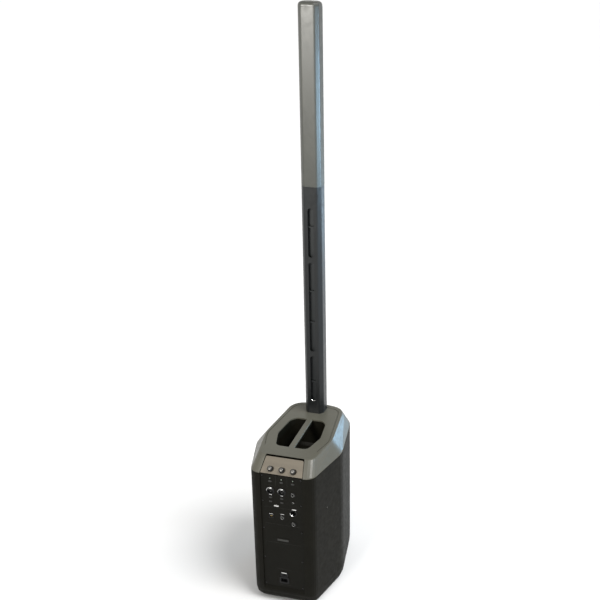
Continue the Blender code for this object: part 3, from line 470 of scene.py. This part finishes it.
def knob_details():
    """Knurled skirts and bright tops on the three channel knobs."""
    out = Vector((0, sin(PLATE_TILT), cos(PLATE_TILT)))
    turn = Matrix.Rotation(pi, 4, "Z") @ Matrix.Rotation(PLATE_TILT, 4, "X")
    for number in (1, 2, 3):
        node = NODES[f"channel_knob_{number}"]
        axis = centre(f"encoder_shaft_{number}")
        heights = [(v.co - axis).dot(out) for v in node.data.vertices]
        around = [((v.co - axis) - out * (v.co - axis).dot(out)).length for v in node.data.vertices]
        top, foot, radius = max(heights), min(heights), max(around) / MM
        base = Matrix.Translation(axis + out * top) @ turn.to_4x4()
        shape = bmesh.new()
        rings(shape, moved(turned_loops([(radius - 2.2, 0.02), (radius - 2.2, 0.7), (radius - 2.7, 1.2),
                                         (radius * 0.45, 1.7), (radius * 0.08, 1.85)], 40), base))
        finish_piece(f"knob_top_{number}", shape, f"knob_{number}", "knob_cap")
        depth = (top - foot) / MM
        skirt = bmesh.new()
        outer = [(radius - 0.1, -depth + 1.2), (radius + 0.45, -depth + 1.6), (radius + 0.25, -1.4),
                 (radius - 0.5, -0.5)]
        loops = turned_loops(outer, 120, 30, 0.028)
        loops += turned_loops([(radius - 1.2, -0.6), (radius - 1.2, -depth + 1.3)], 120)
        rings(skirt, moved(loops, base), closed=True)
        finish_piece(f"knob_knurl_{number}", skirt, f"knob_{number}", "knob_black")


def cup_details():
    """The moulded floor of the hand hole: a raised boss on each side, with a fixing screw."""
    tree = BVHTree.FromObject(NODES["handle_cup"], bpy.context.evaluated_depsgraph_get())
    bosses, screws = bmesh.new(), bmesh.new()
    for x, y in ((-42 * MM, 60 * MM), (42 * MM, 60 * MM), (-40 * MM, -30 * MM), (40 * MM, -30 * MM)):
        hit = tree.ray_cast(Vector((x, y, DECK_Z - 20 * MM)), Vector((0, 0, -1)))[0]
        if hit is None:
            continue
        place = Matrix.Translation(hit)
        boss = [(15, -0.2), (15, 1.6), (13.6, 2.6), (8, 2.6), (7.2, 0.4), (0.5, 0.3)]
        rings(bosses, moved(turned_loops(boss, 32), place))
        screw_shape(screws, place @ Matrix.Translation((0, 0, 0.3 * MM)), 4.4)
    finish_piece("cup_bosses", bosses, "base", "satin_black")
    finish_piece("cup_screws", screws, "base", "bright_metal")


def slot_details():
    """A painted highlight: a bright metal arc on the lip at the foot of the cable slot."""
    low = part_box("cable_channel")[0]
    foot = low.z + 11 * MM
    place = Matrix.Translation((0, COLUMN_REAR - 0.3 * MM, foot + 9.5 * MM)) @ TO_REAR
    shape = bmesh.new()
    # painted highlight: bright metal on the upward-facing lower rim of the slot
    arc_band(shape, place, 9.7, 2.2, 0.9, 28, 152)
    finish_piece("slot_lip_painted_highlight", shape, "extension", "bright_metal")


def switch_painted_highlight():
    """A painted highlight: a bright metal bar along the top edge over the power switch."""
    frame_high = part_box("switch_frame")[1]
    at = centre("switch_frame")
    shape = bmesh.new()
    place = Matrix.Translation((at.x, frame_high.y - 0.05 * MM, frame_high.z - 2.0 * MM)) @ TO_REAR
    # painted highlight: the bright bar stands in for light on the top of the rocker
    rings(shape, moved([plate_loop(9.5, 1.5, 0.8, 0), plate_loop(9.5, 1.5, 0.8, 0.3),
                        plate_loop(9.0, 1.1, 0.6, 0.6)], place))
    finish_piece("switch_painted_highlight", shape, "base", "bright_metal")


# Bevel widths in mm.
SOFT_EDGES = {
    "top_cap": 1.1, "knob_plate": 0.5, "cabinet_shell": 0.9, "extension_shell": 0.5, "array_body": 0.5,
    "switch_frame": 0.4, "power_inlet": 0.4, "control_panel": 0.25, "mixer_port": 0.3,
}


def soften_edges():
    """Rounds the sharp edges of the mouldings a little, so that they catch the light."""
    for name, width in SOFT_EDGES.items():
        node = NODES[name]
        weld = node.modifiers.new("weld", "WELD")
        weld.merge_threshold = 0.00001
        bevel = node.modifiers.new("soft_edges", "BEVEL")
        bevel.width = width * MM
        bevel.segments = 3
        bevel.limit_method = "ANGLE"
        bevel.angle_limit = radians(38)
        bevel.harden_normals = True


def perforated_sheet(name, node, body, half, pitch, hole, margin):
    """A perforated metal sheet just in front of a CAD grille, which stays as the cloth behind it.

    The sheet is a lattice of six-sided cells, each with a round-ended opening. Sizes in metres.
    """
    low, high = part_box(node)
    tree = BVHTree.FromObject(NODES[node], bpy.context.evaluated_depsgraph_get())
    shape = bmesh.new()
    corners = {}

    def front(x, z):
        x = max(-half, min(half, x))
        z = max(low.z + 0.4 * MM, min(high.z - 0.4 * MM, z))
        key = (round(x / (0.05 * MM)), round(z / (0.05 * MM)))
        if key not in corners:
            hit = tree.ray_cast(Vector((x, low.y - 0.1, z)), Vector((0, 1, 0)))[0]
            corners[key] = shape.verts.new((x, (hit.y if hit else high.y) - MM, z))
        return corners[key]

    rise, cell = pitch * sqrt(3) / 2, pitch / sqrt(3)
    turns = [pi / 6 + k * pi / 3 for k in range(6)]
    for row in range(int((high.z - low.z) / rise) + 2):
        for column in range(int(2 * half / pitch) + 2):
            x = -half + (column + 0.5 * (row % 2)) * pitch
            z = low.z + row * rise
            outline = []
            for angle in turns:
                corner = front(x + cell * cos(angle), z + cell * sin(angle))
                if corner not in outline:
                    outline.append(corner)
            if len(outline) < 3:
                continue
            inside = abs(x) < half - margin and low.z + margin < z < high.z - margin
            if inside and len(outline) == 6:
                inner = [front(x + hole * cos(angle), z + hole * sin(angle)) for angle in turns]
                for k in range(6):
                    j = (k + 1) % 6
                    shape.faces.new((outline[k], outline[j], inner[j], inner[k]))
            else:
                shape.faces.new(outline)
    slivers = [f for f in shape.faces if f.calc_area() < 1e-10]
    bmesh.ops.delete(shape, geom=slivers, context="FACES_ONLY")
    piece = finish_piece(name, shape, body, "grille_metal", outward=False)
    solid = piece.modifiers.new("thickness", "SOLIDIFY")
    solid.thickness = 0.7 * MM
    solid.offset = -1


def side_screws():
    """A covered fixing on each side wall."""
    tree = BVHTree.FromObject(NODES["cabinet_shell"], bpy.context.evaluated_depsgraph_get())
    shape = bmesh.new()
    for sign in (-1, 1):
        start = Vector((sign * 0.4, SIDE_FIXING_Y, SIDE_FIXING_Z))
        hit, normal = tree.ray_cast(start, Vector((-sign, 0, 0)))[:2]
        turn = Vector((0, 0, 1)).rotation_difference(normal).to_matrix().to_4x4()
        screw_shape(shape, Matrix.Translation(hit) @ turn, 2.2)
    finish_piece("side_screws", shape, "base", "dark_chrome")


perforated_sheet("bass_grille_sheet", "front_grille", "base", 0.0955, 0.0062, 0.0023, 0.005)
perforated_sheet("array_grille_sheet", "array_grille", "array", 0.0335, 0.0044, 0.0016, 0.004)
panel_screws()
side_screws()
combo_details()
xlr_details()
jack_details()
port_bars()
phantom_bar()
panel_print()
knob_details()
cup_details()
slot_details()
switch_painted_highlight()
soften_edges()
dress_nodes()


# ---- camera, light and floor -----------------------------------------------------------
CAMERA_PLACE = Vector((-0.93002, 2.57261, 2.21405))
CAMERA_TURN, CAMERA_PITCH, CAMERA_ROLL = 11.5546, 22.0281, 1.8141  # degrees
CAMERA_LENS = 53.525  # mm, on a 36 mm sensor


def add_camera():
    """The camera stands behind the cabinet, to one side and above the top of the column."""
    turn, pitch, roll = radians(CAMERA_TURN), radians(CAMERA_PITCH), radians(CAMERA_ROLL)
    forward = Vector((sin(turn) * cos(pitch), -cos(turn) * cos(pitch), -sin(pitch)))
    side = forward.cross(Vector((0, 0, 1))).normalized()
    up = side.cross(forward)
    x_axis = side * cos(roll) + up * sin(roll)
    y_axis = up * cos(roll) - side * sin(roll)
    camera = bpy.data.objects.new("camera", bpy.data.cameras.new("camera"))
    bpy.context.scene.collection.objects.link(camera)
    camera.matrix_world = Matrix.Translation(CAMERA_PLACE) @ Matrix(
        (x_axis, y_axis, -forward)).transposed().to_4x4()
    camera.data.lens = CAMERA_LENS
    camera.data.sensor_width = 36
    camera.data.shift_x = -0.2
    camera.data.shift_y = -0.0167
    bpy.context.scene.camera = camera


def add_lamp(name, location, target, size, power, colour=(1, 1, 1), tall=None, spread=180):
    data = bpy.data.lights.new(name, "AREA")
    data.shape = "RECTANGLE"
    data.size = size
    data.size_y = tall or size
    data.energy = power
    data.color = colour
    data.spread = radians(spread)
    lamp = bpy.data.objects.new(name, data)
    lamp.location = location
    lamp.rotation_euler = (Vector(target) - Vector(location)).to_track_quat("-Z", "Y").to_euler()
    lamp.visible_camera = False
    bpy.context.scene.collection.objects.link(lamp)


def add_sun(direction, power, softness):
    data = bpy.data.lights.new("key", "SUN")
    data.energy = power
    data.angle = radians(softness)
    sun = bpy.data.objects.new("key", data)
    sun.rotation_euler = Vector(direction).to_track_quat("-Z", "Y").to_euler()
    bpy.context.scene.collection.objects.link(sun)


def add_world():
    """A white surround, brightest at the horizon and dimmer overhead."""
    world = bpy.data.worlds.new("studio")
    bpy.context.scene.world = world
    world.use_nodes = True
    tree = world.node_tree
    place = add_node(tree, "ShaderNodeTexCoord")
    split = add_node(tree, "ShaderNodeSeparateXYZ")
    ramp = add_node(tree, "ShaderNodeValToRGB")
    ramp.color_ramp.elements[0].position = 0.06
    ramp.color_ramp.elements[0].color = (1.0, 0.985, 0.96, 1)
    ramp.color_ramp.elements[1].position = 0.45
    ramp.color_ramp.elements[1].color = (0.56, 0.56, 0.555, 1)
    tree.links.new(place.outputs["Generated"], split.inputs["Vector"])
    tree.links.new(split.outputs["Z"], ramp.inputs["Fac"])
    tree.links.new(ramp.outputs["Color"], tree.nodes["Background"].inputs["Color"])
    tree.nodes["Background"].inputs["Strength"].default_value = 1.0


def add_studio():
    """A soft sun from high on the camera's right, two cool lamps there and a warm high one."""
    bpy.context.scene.view_settings.view_transform = "Standard"
    add_sun((0.66, -0.22, -1.0), 2.75, 32)
    add_lamp("right_window", (-1.55, -0.25, 1.45), (-0.03, -0.14, 1.36), 0.4, 7,
             (0.45, 0.74, 1.0), 0.5, 60)
    add_lamp("right_sky", (-1.0, -1.95, 0.72), (-0.14, -0.08, 0.57), 0.9, 1.3,
             (0.38, 0.70, 1.0), 0.4, 50)
    add_lamp("high_rear", (0.7, 2.6, 2.3), (0, -0.12, 1.95), 0.7, 30,
             (1, 0.98, 0.93), None, 80)
    add_world()


def add_floor():
    bpy.ops.mesh.primitive_plane_add(size=240)
    floor = bpy.context.object
    floor.name = "floor"
    paint, tree, shader = new_material("floor_paint", 0.7)
    colour_between(tree, shader, noise(tree, 1.5), (0.80, 0.80, 0.80), (0.82, 0.82, 0.82))
    floor.data.materials.append(paint)


add_camera()
add_studio()
add_floor()
